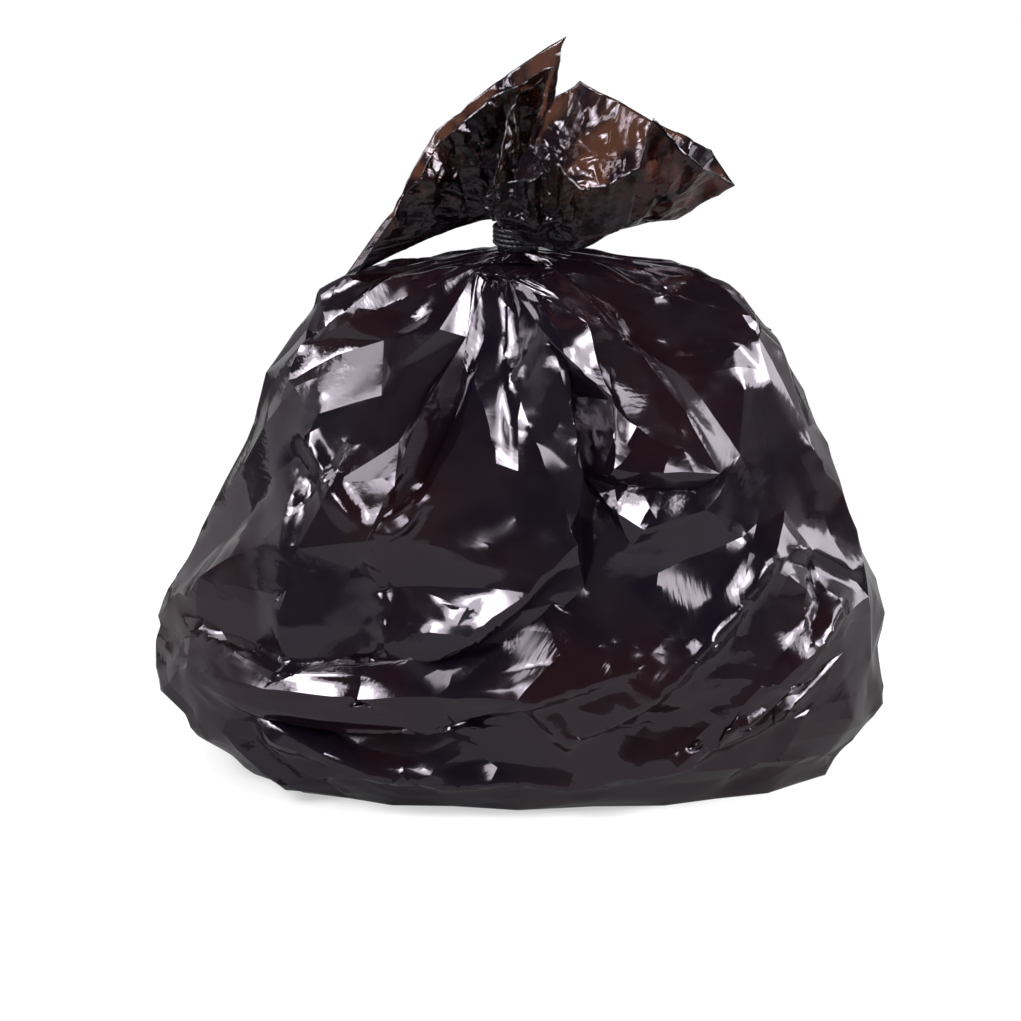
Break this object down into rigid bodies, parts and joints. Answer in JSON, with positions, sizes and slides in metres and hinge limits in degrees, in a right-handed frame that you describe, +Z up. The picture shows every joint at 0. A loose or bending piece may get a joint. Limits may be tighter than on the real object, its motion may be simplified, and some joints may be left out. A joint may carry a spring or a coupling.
{
  "type": "filled bin bag",
  "caption": "Filled plastic refuse sack standing on its base, gathered and tied at the neck, with the slack film of its mouth flared above the tie.",
  "frame": {"origin": "on the floor under the middle of the overall box", "axes": "+Z up through the tied neck, -Y the front that shows the fanned folds, +X to the right seen from the front; the sack is thinnest along Y"},
  "size_m": [0.6172, 0.3126, 0.6154],
  "materials": {
    "sack_film": "glossy thin polythene film, near black, slightly translucent brown where it is one layer thick",
    "tie_cord": "satin"
  },
  "bodies": {
    "root": {"tied_sack": "sack_film", "neck_tie": "tie_cord"}
  },
  "joints": []
}
